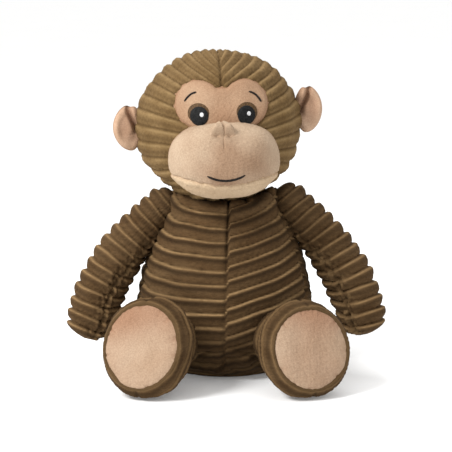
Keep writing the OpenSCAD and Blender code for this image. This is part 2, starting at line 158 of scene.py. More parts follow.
def curve_through(points, step, rounds=4):
    """A smooth curve that follows a polyline, by cutting corners."""
    p = np.asarray(points, float)
    for _ in range(rounds):
        q = 0.75 * p[:-1] + 0.25 * p[1:]
        r = 0.25 * p[:-1] + 0.75 * p[1:]
        inner = np.stack([q, r], 1).reshape(-1, p.shape[1])
        p = np.vstack([p[:1], inner[1:-1], p[-1:]])
    return resample(p, step)


# ---- meshes ----

def add_mesh(name, points, faces, marks=None):
    mesh = bpy.data.meshes.new(name)
    mesh.from_pydata((points * MM).tolist(), [], faces)
    mesh.update()
    for key, values in (marks or {}).items():
        layer = mesh.attributes.new(key, "FLOAT", "POINT")
        layer.data.foreach_set("value", np.asarray(values, np.float32).ravel())
    mesh.polygons.foreach_set("use_smooth", [True] * len(mesh.polygons))
    piece = bpy.data.objects.new(name, mesh)
    bpy.context.scene.collection.objects.link(piece)
    return piece


def add_grid(name, grid, marks=None, cap_start=False, cap_end=False, keep=None):
    """A mesh from a grid of points whose columns run round. A cap closes the first or last row with a fan."""
    rows, columns = grid.shape[:2]
    index = np.arange(rows * columns).reshape(rows, columns)
    right = np.roll(index, -1, 1)
    quads = np.stack([index[:-1], right[:-1], right[1:], index[1:]], -1)
    if keep is not None:
        quads = quads[keep]
    faces = quads.reshape(-1, 4).tolist()
    points = grid.reshape(-1, 3)
    marks = {key: np.asarray(values).ravel() for key, values in (marks or {}).items()}
    for wanted, row in ((cap_start, 0), (cap_end, -1)):
        if not wanted:
            continue
        middle = len(points)
        points = np.vstack([points, grid[row].mean(0)])
        marks = {key: np.r_[values, values[index[row]].mean()] for key, values in marks.items()}
        ring = index[row]
        pairs = zip(ring, np.roll(ring, -1))
        faces += [[b, a, middle] if row == 0 else [a, b, middle] for a, b in pairs]
    if keep is not None:
        used = np.unique(np.concatenate([np.asarray(face) for face in faces]))
        back = np.full(len(points), -1)
        back[used] = np.arange(len(used))
        points = points[used]
        marks = {key: values[used] for key, values in marks.items()}
        faces = [back[face].tolist() for face in faces]
    return add_mesh(name, points, faces, marks)


def place(piece, body, material, slot, *replaced):
    piece.data.materials.append(material)
    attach(piece, body)
    if replaced:
        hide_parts(*replaced)
    return piece


# ---- materials ----

class Nodes:
    """Short names for building one material's nodes."""

    def __init__(self, name):
        self.material = bpy.data.materials.new(name)
        self.material.use_nodes = True
        self.tree = self.material.node_tree
        self.shader = self.tree.nodes["Principled BSDF"]
        self.place = self.new("ShaderNodeTexCoord").outputs["Object"]

    def new(self, kind, **settings):
        node = self.tree.nodes.new(kind)
        for key, value in settings.items():
            setattr(node, key, value)
        return node

    def link(self, source, target):
        self.tree.links.new(source, target)

    def noise(self, scale, detail=2.0, stretch=(1, 1, 1), rough=0.5):
        mapping = self.new("ShaderNodeMapping")
        mapping.inputs["Scale"].default_value = stretch
        self.link(self.place, mapping.inputs["Vector"])
        node = self.new("ShaderNodeTexNoise")
        node.inputs["Scale"].default_value = scale
        node.inputs["Detail"].default_value = detail
        node.inputs["Roughness"].default_value = rough
        self.link(mapping.outputs[0], node.inputs["Vector"])
        return node.outputs["Fac"]

    def ramp(self, source, low, high, low_out=0.0, high_out=1.0):
        node = self.new("ShaderNodeMapRange")
        for key, value in (("From Min", low), ("From Max", high), ("To Min", low_out), ("To Max", high_out)):
            node.inputs[key].default_value = value
        self.link(source, node.inputs["Value"])
        return node.outputs[0]

    def mark(self, name):
        return self.new("ShaderNodeAttribute", attribute_name=name).outputs["Fac"]

    def maths(self, operation, a, b):
        node = self.new("ShaderNodeMath", operation=operation)
        for socket, value in zip(node.inputs, (a, b)):
            if isinstance(value, (int, float)):
                socket.default_value = value
            else:
                self.link(value, socket)
        return node.outputs[0]

    def mix(self, factor, a, b, blend="MIX"):
        node = self.new("ShaderNodeMix", data_type="RGBA", blend_type=blend)
        for socket, value in zip((node.inputs[0], node.inputs[6], node.inputs[7]), (factor, a, b)):
            if isinstance(value, (int, float)):
                socket.default_value = value
            elif isinstance(value, tuple):
                socket.default_value = (*value, 1)
            else:
                self.link(value, socket)
        return node.outputs[2]

    def bumps(self, *layers):
        """Bump nodes in a chain, each from (height, distance in millimetres, strength)."""
        last = None
        for height, distance, strength in layers:
            node = self.new("ShaderNodeBump")
            node.inputs["Distance"].default_value = distance * MM
            node.inputs["Strength"].default_value = strength
            self.link(height, node.inputs["Height"])
            if last is not None:
                self.link(last, node.inputs["Normal"])
            last = node.outputs[0]
        self.link(last, self.shader.inputs["Normal"])

    def finish(self, color, roughness, sheen=0.0, tint=(1, 1, 1), sheen_roughness=0.5, specular=0.2):
        self.link(color, self.shader.inputs["Base Color"])
        self.shader.inputs["Roughness"].default_value = roughness
        self.shader.inputs["Sheen Weight"].default_value = sheen
        self.shader.inputs["Sheen Roughness"].default_value = sheen_roughness
        self.shader.inputs["Sheen Tint"].default_value = (*tint, 1)
        self.shader.inputs["Specular IOR Level"].default_value = specular
        return self.material


def rib_plush(name, deep, mid, high, line, streak=(1, 1, 1), band=0.75):
    """Short pile on ribs: a pale line in each crease, a band of painted shade below it, painted shade in
    folds, and brushed streaks.
    """
    n = Nodes(name)
    patches = n.ramp(n.noise(45, 3, streak), 0.35, 0.68)
    streaks = n.ramp(n.noise(420, 3, streak), 0.36, 0.66)
    pile = n.noise(2600, 2)
    base = n.mix(patches, mid, high)
    base = n.mix(n.maths("MULTIPLY", streaks, 0.28), base, deep)
    # painted shade: the band below each rib's edge and the line in its crease, from the dark mark
    base = n.mix(n.maths("MULTIPLY", n.mark("dark"), band), base, deep)
    # painted shade in folds, seams and creases
    base = n.mix(n.maths("MULTIPLY", n.mark("fold"), 0.8), base, deep)
    base = n.mix(n.maths("MULTIPLY", n.mark("lip"), n.ramp(streaks, 0, 1, 0.45, 0.8)), base, line)
    base = n.mix(0.35, base, n.mix(n.ramp(pile, 0.3, 0.7), (0.12, 0.12, 0.12), (0.9, 0.9, 0.9)), "SOFT_LIGHT")
    n.bumps((streaks, 0.5, 0.35), (n.noise(900, 2), 0.35, 0.5), (pile, 0.2, 0.6))
    return n.finish(base, 0.95, 0.10, high, 0.4, 0.08)


def smooth_plush(name, pale, mid, blush_and_shade, blush_and_shade_amount=0.45):
    """Smooth short pile with soft mottling, a darker mark that is partly blush and partly painted shade, and
    painted shade in folds.
    """
    n = Nodes(name)
    patches = n.ramp(n.noise(38, 2), 0.35, 0.7)
    specks = n.noise(900, 3, rough=0.65)
    pile = n.noise(2600, 2)
    base = n.mix(patches, mid, pale)
    # a darker mark, partly blush and partly painted shade
    base = n.mix(n.maths("MULTIPLY", n.mark("blush_and_shade"), blush_and_shade_amount), base, blush_and_shade)
    # painted shade in folds, seams and creases
    base = n.mix(n.maths("MULTIPLY", n.mark("fold"), 0.6), base, blush_and_shade)
    grain = n.mix(n.ramp(specks, 0.32, 0.68), (0.2, 0.2, 0.2), (0.82, 0.82, 0.82))
    base = n.mix(0.35, base, grain, "SOFT_LIGHT")
    n.bumps((n.noise(450, 2), 0.35, 0.4), (specks, 0.4, 0.6), (pile, 0.15, 0.4))
    return n.finish(base, 0.92, 0.08, pale, 0.4, 0.1)


def thread(name, dark, light, specular):
    """Satin stitches lying side by side."""
    n = Nodes(name)
    strands = n.noise(2600, 1, (1, 0.25, 0.25))
    base = n.mix(n.ramp(strands, 0.4, 0.62), dark, light)
    n.bumps((strands, 0.25, 0.9))
    return n.finish(base, 0.6, 0.0, light, 0.4, specular)


BROWN = rib_plush("brown_rib_plush", (0.013, 0.007, 0.003), (0.078, 0.043, 0.018), (0.115, 0.068, 0.031),
                  (0.34, 0.215, 0.10), (0.5, 0.5, 1.8))
GOLDEN = rib_plush("golden_rib_plush", (0.050, 0.027, 0.010), (0.150, 0.092, 0.038), (0.215, 0.138, 0.062),
                   (0.36, 0.25, 0.12), (1, 1, 1), 0.45)
PEACH = smooth_plush("peach_plush", (0.335, 0.218, 0.138), (0.300, 0.186, 0.114), (0.225, 0.115, 0.062), 0.6)
MUZZLE = smooth_plush("muzzle_pile", (0.40, 0.300, 0.210), (0.365, 0.267, 0.183), (0.225, 0.130, 0.076), 0.75)
CREAM = smooth_plush("cream_plush", (0.46, 0.345, 0.228), (0.42, 0.305, 0.195), (0.30, 0.175, 0.105))
SOLE = smooth_plush("sole_pile", (0.360, 0.255, 0.175), (0.325, 0.220, 0.145), (0.24, 0.122, 0.070), 0.75)
EAR = smooth_plush("ear_plush", (0.50, 0.34, 0.235), (0.37, 0.24, 0.155), (0.19, 0.095, 0.052), 0.6)
BLACK = thread("black_thread", (0.003, 0.003, 0.003), (0.014, 0.014, 0.0135), 0.12)
BROWN_THREAD = thread("brown_thread", (0.040, 0.020, 0.008), (0.115, 0.065, 0.028), 0.15)
WHITE = thread("white_thread", (0.42, 0.42, 0.42), (0.6, 0.6, 0.6), 0.2)
INK = thread("ink_thread", (0.004, 0.003, 0.0025), (0.018, 0.014, 0.012), 0.12)


# ---- torso ----

CHEST_SEAM_X = 1.0
RIB_SLOPE = 0.25


def torso_radius(z):
    """The pear outline of the torso: a bowl below the belly and a dome above it."""
    belly, seat = 48.0, 56.0
    bowl = belly / math.sqrt(1 - (seat / TORSO_R) ** 2)
    dome = (TORSO_TOP - belly) / (1 - (TORSO_TOP_R / TORSO_R) ** 2) ** (1 / 1.6)
    low = np.sqrt(np.clip(1 - ((belly - z) / bowl) ** 2, 0, 1))
    high = np.sqrt(np.clip(1 - (np.clip(z - belly, 0, None) / dome) ** 1.6, 0, 1))
    return TORSO_R * np.where(z < belly, low, high)


def torso_profile():
    z = np.linspace(3, TORSO_TOP - 2, 60)
    side = np.stack([torso_radius(z) - 1.2, z], -1)
    seat = np.array([[2, 0.4], [30, 0.4], [48, 0.4], [55, 0.5], [58.5, 1.4]])
    above = np.array([[49.5, 2], [46.5, 6], [41, 9], [33, 9.5], [4, 9]])
    collar = above + np.array([0, TORSO_TOP])
    path, _ = curve_through(np.vstack([seat, side, collar]), 1.15, 2)
    return path


def make_torso():
    profile = torso_profile()
    grid, a = lathe(profile, (TORSO_X, TORSO_Y, 0), 360)
    out = normals(grid)
    x, z = grid[..., 0] - TORSO_X, grid[..., 2]
    turn = np.angle(np.exp(1j * a))
    front = smooth(-0.15, 0.3, np.cos(a))
    seam_side = x - CHEST_SEAM_X - 0.035 * (z - 90)
    # ribs run level on the right panel and rise outwards on the left one
    slope = np.where(seam_side > 0, RIB_SLOPE, 0.02 + 0.05 * smooth(120, 60, -z + 180))
    reach = TORSO_R * np.abs(turn) * np.clip(profile[:, :1] / TORSO_R, 0.2, 1)
    lift = slope * np.minimum(np.abs(seam_side), reach) * front
    drift = 1.6 * waves(grid, 150, 3) + 0.5 * waves(grid, 40, 4)
    phase = -(z - lift + drift * smooth(0, 40, z)) / RIB + 0.35 + 0.35 * smooth(0, 3, seam_side)
    # seams: down the chest and the back, and down both sides where the ribs end in rounded pillows
    side_angle = np.where(turn > 0, 1.27 - 0.12 * smooth(90, 50, z), 1.40)
    r = np.maximum(profile[:, :1], 8)
    chest = np.abs(seam_side) + 400 * (np.cos(a) < 0)
    back = np.abs(x) + 400 * (np.cos(a) > 0)
    flank = np.abs(np.abs(turn) - side_angle) * r
    tall = smooth(8, 26, z)
    shape = ridge(phase)
    pillow = 1 - 0.9 * bump(flank, 4.2) * tall
    pillow *= 1 - 0.35 * bump(chest, 2.2) - 0.5 * bump(back, 2.4)
    upper = 0.35 + 0.65 * smooth(92, 112, z)
    pinch = np.maximum(1.2 * upper * bump(chest, 1.2), 1.4 * bump(back, 1.6))
    pinch = np.maximum(pinch, 2.6 * bump(flank, 2.4) * tall)
    slots = bump(chest, 0.9) * smooth(104, 116, z) * shape
    flat = smooth(1.5, 14, z)
    low = (1 - smooth(14, 44, z)) * flat
    creases = (1.6 * waves(grid * np.array([0.55, 0.55, 1.7]), 24, 11) + 0.7 * waves(grid, 10, 12)) * low
    folds = -2.6 * bump(np.sin(0.085 * (np.abs(x) * 0.9 + 1.7 * z) + 1.0), 0.3) * bump(z - 22, 13) * front
    height_out = (3.4 * shape * pillow - 1.9 + 1.0 * waves(grid, 38, 7)) * flat + creases + folds
    height_out += 0.22 * waves(grid, 3.2, 8) * flat - (pinch + 1.6 * slots) * flat
    height_out *= np.clip(profile[:, 0] / 12, 0, 1)[:, None]
    points = grid + out * height_out[..., None]
    # the panels' top corners stand up between the arms and the neck
    corner = bump(np.abs(turn) - 1.5, 0.5) * smooth(136, TORSO_TOP + 2, z) * smooth(26, 46, profile[:, :1])
    points[..., 2] += (8.0 + 0.8 * waves(grid, 9, 15)) * corner
    points[..., 2] = np.maximum(points[..., 2], 0.25)
    # painted shade: the dark band under each rib
    lip, dark = rib_marks(phase)
    lip *= (0.35 + 0.65 * smooth(24, 70, z)) * (1 - 0.8 * bump(chest, 1.2)) * (1 - 0.5 * bump(flank, 3))
    lip *= np.clip(0.85 + 0.35 * waves(grid, 55, 14), 0.25, 1.2)
    # painted shade in the chest and back seams, the creases by the side pillows and the slots
    fold = np.maximum(0.8 * upper * bump(chest, 0.9), 0.7 * bump(back, 1.1))
    fold = np.maximum(fold, 0.75 * bump(flank, 1.6) * tall)
    fold = np.maximum(fold, slots)
    # painted shade, darker towards the bottom of the torso
    fold = np.maximum(fold, 0.55 * (1 - smooth(4, 80, z)))
    piece = add_grid("torso_plush", points, marks={"lip": lip, "dark": dark, "fold": np.clip(fold, 0, 1)},
                     cap_start=True, cap_end=True)
    place(piece, "torso", BROWN, "rib_plush", "torso_front_right_panel", "torso_front_left_panel",
          "torso_back_right_panel", "torso_back_left_panel", "seat_panel", "chest_seam", "back_seam",
          "torso_stuffing", "seat_pellet_bag")


make_torso()


# ---- limbs ----

def tube_frame(path, up):
    """Side and top directions along a curve."""
    t = np.gradient(path, axis=0)
    t /= np.linalg.norm(t, axis=1, keepdims=True)
    side = np.cross(t, up)
    side /= np.linalg.norm(side, axis=1, keepdims=True)
    return side, np.cross(side, t)


def tube_grid(path, radius, columns, up, tall=1.0):
    """A tube round a curve. Column 0 is on the side direction."""
    side, top = tube_frame(path, up)
    a = np.arange(columns) * TAU / columns
    ring = np.cos(a)[None, :, None] * side[:, None] + np.sin(a)[None, :, None] * top[:, None] * tall
    return path[:, None] + ring * radius[:, None, None]


ARM_LEAN = math.radians(8)
ARM_ANGLES = (43, 32, 18)
ARM_LENGTHS = (45, 44, 31)
ARM_RADII = (17.5, 21.0, 23.0, 21.5)
# how far along the arm its elbow and its wrist lie
ARM_BENDS = (62, 106)


def arm_path(side):
    points = [np.zeros(3)]
    for length, angle in zip(ARM_LENGTHS, np.radians(ARM_ANGLES)):
        points.append(points[-1] + length * np.array([math.sin(angle), 0, -math.cos(angle)]))
    points = np.array(points)
    end = points[-1] - points[-2]
    points = np.vstack([points, points[-1] + end / np.linalg.norm(end) * ARM_RADII[3]])
    lean = np.array([[1, 0, 0], [0, math.cos(ARM_LEAN), math.sin(ARM_LEAN)],
                     [0, -math.sin(ARM_LEAN), math.cos(ARM_LEAN)]])
    points = points @ lean.T * np.array([side, 1, 1])
    return SHOULDER[side] + points


def make_arm(side):
    name = SIDE_NAMES[side]
    corners = arm_path(side)
    first = corners[1] - corners[0]
    root = corners[0] - first / np.linalg.norm(first) * ARM_RADII[0]
    path, at = curve_through(np.vstack([root, corners]), 0.9, 4)
    length = at[-1]
    knots = np.array([0, ARM_RADII[0], *ARM_BENDS, length - ARM_RADII[3]])
    radius = np.interp(at, knots, np.array([ARM_RADII[0], *ARM_RADII]) - 0.6)
    cap_in = np.clip(1 - at / ARM_RADII[0], 0, 1)
    cap_out = np.clip((at - (length - ARM_RADII[3])) / ARM_RADII[3], 0, 1)
    radius *= np.sqrt(np.clip(1 - np.maximum(cap_in, cap_out) ** 2.4, 0.001, 1))
    grid = tube_grid(path, radius, 200, np.array([0, -1.0, 0]))
    out = grid - path[:, None]
    out /= np.maximum(np.linalg.norm(out, axis=-1, keepdims=True), 1e-6)
    angle = np.arctan2(out @ np.array([-side, 0, 0.0]), out @ np.array([0, -1.0, 0]))
    along = np.broadcast_to(at[:, None], angle.shape)
    girth = np.maximum(radius, 4)[:, None]
    # the seam with its ruffle runs down the inner front, and a plain one down the back
    seam_at = 0.62 + 0.14 * np.sin(along / 23) + 0.03 * np.sin(along / 4.1)
    seam = (angle - seam_at) * girth
    back_seam = (np.abs(angle - seam_at) - np.pi) * girth
    phase = along / ARM_RIB + 0.25 + 0.05 * waves(grid, 30, 21 + side)
    phase = phase + 0.022 * seam * (seam > 0) + 0.12 * np.sin(angle) * side
    shape = ridge(phase, 0.62, 0.28)
    ruffle = bump(seam, 7) * smooth(40, 68, along)
    crush = (1.0 * waves(grid, 8, 31 + side) + 0.8 * waves(grid, 4, 33 + side)) * ruffle
    height_out = 4.5 * shape * (1 - 0.25 * ruffle) - 2.8 + crush + 0.7 * waves(grid, 26, 35 + side)
    height_out += 0.22 * waves(grid, 3.2, 37) - 1.7 * bump(seam, 1.3) * smooth(24, 40, along)
    height_out += 1.2 * bump(seam - 2.6, 1.6) * smooth(24, 50, along) - 1.2 * bump(back_seam, 1.4)
    height_out *= 1 + 0.35 * smooth(length - 26, length - 8, along)
    height_out -= 0.9 * (1 - smooth(20, 60, along))
    tips = np.clip(radius / 8, 0, 1)[:, None]
    points = grid + out * (height_out * tips)[..., None]
    # painted shade: the dark band under each rib, and the fold mark along the seam and near the shoulder
    lip, dark = rib_marks(phase, 0.16, 0.48)
    lip = np.maximum(0.85 * lip * (1 - 0.6 * ruffle), 0.5 * ruffle * np.clip(waves(grid, 5, 39), 0, 1))
    fold = np.clip(0.25 * bump(seam, 1.0) * smooth(24, 40, along) + 0.3 * (1 - smooth(2, 26, along)), 0, 1)
    piece = add_grid(name + "_arm_plush", points, marks={"lip": lip, "dark": 0.55 * dark, "fold": fold},
                     cap_start=True, cap_end=True)
    fix_normals(piece)
    place(piece, name + "_arm", BROWN, "rib_plush", name + "_arm_front_panel", name + "_arm_back_panel",
          name + "_arm_stuffing")


def fix_normals(piece):
    """Turns all faces outwards on a closed mesh."""
    mesh = bmesh.new()
    mesh.from_mesh(piece.data)
    bmesh.ops.recalc_face_normals(mesh, faces=mesh.faces)
    mesh.to_mesh(piece.data)
    mesh.free()


for arm_side in (RIGHT, LEFT):
    make_arm(arm_side)


LEG_TURN = math.radians(21)
LEG_RISE = {RIGHT: math.radians(3), LEFT: math.radians(2)}
LEG_LEN = 72.0
FOOT = {
    RIGHT: dict(half_w=38.5, half_h=41.8, high=41.3, lean=17, out=3.5, up=1.5),
    LEFT: dict(half_w=39.0, half_h=40.3, high=39.8, lean=15, out=4.0, up=1.0),
}


def leg_axes(side):
    """Directions along the leg, to its side and up."""
    turn, rise = side * LEG_TURN, LEG_RISE[side]
    along = np.array([math.sin(turn) * math.cos(rise), -math.cos(turn) * math.cos(rise), math.sin(rise)])
    across = np.array([math.cos(turn), math.sin(turn), 0])
    return along, across, np.cross(along, across)


def make_leg(side):
    name = SIDE_NAMES[side]
    foot = FOOT[side]
    along, across, up = leg_axes(side)
    hip = HIP[side]
    s = np.linspace(-26, LEG_LEN - 2.4, 150)
    # radius as a share of the foot's: a round end in the hip, the shin, the swelling foot and its rim
    share = 0.62 + 0.38 * smooth(18, 61, s)
    share *= np.sqrt(np.clip(1 - np.clip(-s / 28, 0, 1) ** 2, 0.001, 1))
    shift = smooth(44, LEG_LEN, s)[:, None]
    rise = (foot["high"] - hip[2] - 52 * along[2]) * smooth(0, 52, s)[:, None] + foot["up"] * shift
    centre = hip + s[:, None] * along + rise * np.array([0, 0, 1]) + side * foot["out"] * shift * across
    columns = 260
    a = np.arange(columns) * TAU / columns
    out = np.cos(a)[:, None] * across + np.sin(a)[:, None] * up
    size = np.hypot(np.cos(a) * foot["half_w"], np.sin(a) * foot["half_h"])
    tuck = 0.08 + 0.09 * np.clip(-np.sin(a), 0, 1)
    share = share[:, None] * (1 - tuck * np.clip((s - 56) / (LEG_LEN - 58.4), 0, 1)[:, None] ** 2.6)
    lean = math.tan(math.radians(foot["lean"])) * np.sin(a) * foot["half_h"] * share
    lean = lean * smooth(20, 62, s)[:, None]
    grid = centre[:, None] + out * (size * share)[..., None] - lean[..., None] * along
    place_along = np.broadcast_to(s[:, None], grid.shape[:2])
    phase = (LEG_LEN - 1.5 - place_along) / LEG_RIB + 0.05 * waves(grid, 30, 41 + side)
    shape = ridge(phase, 0.6)
    near_rim = smooth(36, 62, s)[:, None]
    toe = bump(np.angle(np.exp(1j * (a - np.pi / 2 + 0.05 * side))) * 40, 1.6) * near_rim
    heel = bump(np.angle(np.exp(1j * (a + np.pi / 2))) * 40, 1.6) * near_rim
    fade = 1 - smooth(LEG_LEN - 10, LEG_LEN - 2.4, place_along)
    height_out = (2.8 * shape - 1.8 + 0.8 * waves(grid, 24, 43 + side)) * fade
    height_out += 0.22 * waves(grid, 3.2, 45) - 1.6 * np.maximum(toe, heel) * (0.3 + 0.7 * fade)
    points = grid + out * (height_out * np.clip(share / 0.3, 0, 1))[..., None]
    last_centre, last = centre[-1], points[-1]
    # tuck the rim in behind the sole
    tucks = ((0.975, 0.9), (0.94, 0.7), (0.88, -1.0))
    rim = [last_centre + (last - last_centre) * part + along * ahead for part, ahead in tucks]
    points = np.concatenate([points, np.array(rim)])
    points[..., 2] = soft_floor(points[..., 2])
    # painted shade: the dark band under each rib, and the fold mark near the hip, in the toe and heel creases
    # and on the rim behind the sole
    lip, dark = rib_marks(phase)
    fold = np.clip(0.7 * (1 - smooth(-5, 20, place_along)) + 0.6 * np.maximum(toe, heel), 0, 1)
    marks = {"lip": rim_rows(0.3 * lip, 0.15), "dark": rim_rows(0.7 * dark, 0.1), "fold": rim_rows(fold, 0.5)}
    piece = add_grid(name + "_leg_plush", points, marks=marks, cap_start=True, cap_end=True)
    fix_normals(piece)
    place(piece, name + "_leg", BROWN, "rib_plush", name + "_leg_top_panel", name + "_leg_bottom_panel",
          name + "_leg_stuffing")
    make_sole(side, last_centre, last, along)


def rim_rows(values, end):
    """Adds the marks of the three rows of a foot's rim."""
    return np.vstack([values, np.full((3, values.shape[1]), end)])


def soft_floor(z):
    """Presses what would reach below the floor flat against it, softly."""
    return np.where(z < 4, 0.3 + 3.7 * np.exp(np.clip((z - 4) / 3.7, -6, 0)), z)


def make_sole(side, centre, rim, along):
    name = SIDE_NAMES[side]
    t = np.concatenate([np.linspace(0.01, 0.9, 80), np.linspace(0.91, 1.0, 20)])[:, None]
    a = np.arange(rim.shape[0]) * TAU / rim.shape[0]
    edge = rim - centre
    reach = np.linalg.norm(edge, axis=1)
    spread = 8
    window = np.ones(2 * spread + 1) / (2 * spread + 1)
    level = np.convolve(np.r_[reach[-spread:], reach, reach[:spread]], window, "valid")
    edge = edge * (0.955 * level / reach)[:, None]
    # puckers where the plush is gathered to the sole
    rng = np.random.default_rng(7 + side)
    pucker = np.zeros_like(a)
    for _ in range(18):
        depth = rng.uniform(0.3, 1)
        away = np.angle(np.exp(1j * (a - rng.uniform(0, TAU))))
        pucker += depth * bump(away, rng.uniform(0.03, 0.07))
    dome = 5.0 * np.sqrt(np.clip(1 - t ** 2.8, 0, 1)) - 1.4
    grid = centre + t[..., None] * edge + along * dome[..., None]
    near = bump(1 - t, 0.15)
    swell = 0.5 * waves(grid, 26, 51 + side) + 0.12 * waves(grid, 4, 52) - 0.9 * pucker * near
    grid = grid + along * swell[..., None]
    grid[..., 2] = soft_floor(grid[..., 2])
    # darker towards the sole's top, with painted shade in the puckers near its edge; the fold mark is painted
    # shade in the puckers and at the very edge
    height = (grid[..., 2] - grid[..., 2].min()) / np.ptp(grid[..., 2])
    blush_and_shade = np.clip(smooth(0.5, 1.0, height) + 0.3 * waves(grid, 60, 53) + 0.25 * pucker * near, 0, 1)
    fold = np.clip(pucker * near * 0.35 + 0.6 * bump(1 - t, 0.015), 0, 1)
    piece = add_grid(name + "_sole_plush", grid, marks={"blush_and_shade": blush_and_shade, "fold": fold}, cap_start=True)
    turn_towards(piece, along)
    place(piece, name + "_leg", SOLE, "sole_plush", name + "_sole")


def turn_towards(piece, direction):
    """Turns an open sheet's faces so that they look along a direction."""
    mesh = piece.data
    total = np.zeros(3)
    for polygon in mesh.polygons:
        total += np.array(polygon.normal) * polygon.area
    if total @ np.asarray(direction) < 0:
        mesh.flip_normals()


for leg_side in (RIGHT, LEFT):
    make_leg(leg_side)


# ---- head ----

def head_matrix():
    ct, st = math.cos(-HEAD_TILT), math.sin(-HEAD_TILT)
    lean = np.array([[ct, 0, st], [0, 1, 0], [-st, 0, ct]])
    c, s = math.cos(HEAD_TURN), math.sin(HEAD_TURN)
    return np.array([[c, -s, 0], [s, c, 0], [0, 0, 1]]) @ lean


HEAD_M = head_matrix()


def to_world(points):
    """From the head's own frame, with its middle at the origin, to the model's."""
    return points @ HEAD_M.T + HEAD_C


def head_front(x, z):
    """The depth of the head's front at a place in its own frame."""
    return -HEAD_R * np.sqrt(np.clip(1 - (x / HEAD_W) ** 2 - (z / HEAD_R) ** 2, 0, 1))


FACE_C = np.array([0.0, 10.0])
LOBE_X, LOBE_Z, LOBE_R = 20.0, 24.6, 20.4
MUZZLE_Z = -21.5
MUZZLE_X = 0.8


def face_outline(angles):
    """Distance from the face's middle to the edge of the face patch, along each angle."""
    reach = np.zeros_like(angles)
    d = np.stack([np.cos(angles), np.sin(angles)], -1)
    circles = ((-LOBE_X, LOBE_Z, LOBE_R), (LOBE_X, LOBE_Z, LOBE_R), (0, MUZZLE_Z + 4, 36), (0, 17, 21.5))
    for cx, cz, r in circles:
        to = np.array([cx, cz]) - FACE_C
        along = d @ to
        inside = r * r - (to @ to - along ** 2)
        reach = np.maximum(reach, np.where(inside > 0, along + np.sqrt(np.clip(inside, 0, None)), 0))
    kernel = np.array([1, 2, 3, 2, 1]) / 9
    for _ in range(3):
        reach = sum(w * np.roll(reach, k - 2) for k, w in enumerate(kernel))
    return reach


def face_distance(x, z):
    """How far a point lies outside the face patch, in millimetres."""
    table = np.linspace(-np.pi, np.pi, 721)
    radius = np.hypot(x - FACE_C[0], z - FACE_C[1])
    angle = np.arctan2(z - FACE_C[1], x - FACE_C[0])
    return radius - np.interp(angle, table, face_outline(table))


def make_head():
    v = np.linspace(0.02, np.pi - 0.02, 190)
    columns = 380
    a = np.arange(columns) * TAU / columns
    x = HEAD_W * np.sin(v)[:, None] * np.sin(a)
    z = HEAD_R * np.sin(v)[:, None] * np.cos(a)
    y = np.broadcast_to(-HEAD_R * np.cos(v)[:, None], x.shape)
    grid = np.stack([x, y, z], -1)
    # the underside reaches down to the neck
    jaw = smooth(30, 66, -z) * (1 - smooth(20, 52, np.hypot(x, y)))
    grid[..., 2] -= 3.0 * jaw
    out = np.stack([x / HEAD_W ** 2, y / HEAD_R ** 2, z / HEAD_R ** 2], -1)
    out /= np.linalg.norm(out, axis=-1, keepdims=True)
    # ribs fan out from the middle seam, steep over the crown and level at the cheeks
    level = z + 0.9 * waves(grid, 60, 61)
    middle = (level - 0.20 * np.abs(x)) / (1 + 0.013 * np.abs(x))
    phase = -middle / HEAD_RIB + 0.3 + 0.25 * smooth(0, 2, x)
    shape = ridge(phase, 0.7, 0.4)
    seam = np.abs(x)
    outside = face_distance(x, z)
    in_front = y < 0
    edge = np.where(in_front, np.clip(outside, -20, 60), 60)
    fuzz = 0.9 * waves(grid, 2.6, 67) + 0.6 * waves(grid, 6, 68)
    tuck = bump(np.clip(edge + fuzz, 0, None), 2.4)
    height_out = 2.5 * shape * (0.85 + 0.25 * waves(grid, 45, 69)) - 1.5 + 0.8 * waves(grid, 30, 63)
    height_out += 0.25 * waves(grid, 3.2, 66) - 1.8 * bump(seam, 1.2) - 1.5 * tuck
    height_out = np.where(in_front & (outside < 0), -2.5, height_out)
    points = grid + out * height_out[..., None]
    # painted shade: the dark band under each rib, and the fold mark in the rib creases, along the middle seam
    # and where the plush tucks in at the face
    lip, dark = rib_marks(phase, 0.2, 0.62)
    crease = bump(np.minimum(phase % 1, 1 - phase % 1), 0.1)
    fold = np.clip(0.8 * bump(seam, 0.8) + 0.3 * tuck + 0.7 * crease, 0, 1)
    lip *= 0.5 * np.clip(0.6 + 0.6 * waves(grid, 34, 65), 0, 1)
    marks = {"lip": lip, "dark": dark, "fold": fold}
    piece = add_grid("head_plush", to_world(points), marks=marks, cap_start=True, cap_end=True)
    fix_normals(piece)
    place(piece, "head", GOLDEN, "rib_plush_light", "head_right_panel", "head_left_panel", "crown_seam",
          "head_stuffing")


def face_swell(x, z):
    """How far the face patch stands out from the head: round the eyes more, between the brows less."""
    low = z - LOBE_Z + 5
    swell = 1.2 * (bump(np.hypot(x + LOBE_X, low), 15) + bump(np.hypot(x - LOBE_X, low), 15))
    return 1.7 + swell - 1.5 * bump(np.hypot(x / 1.2, z - 27), 9)


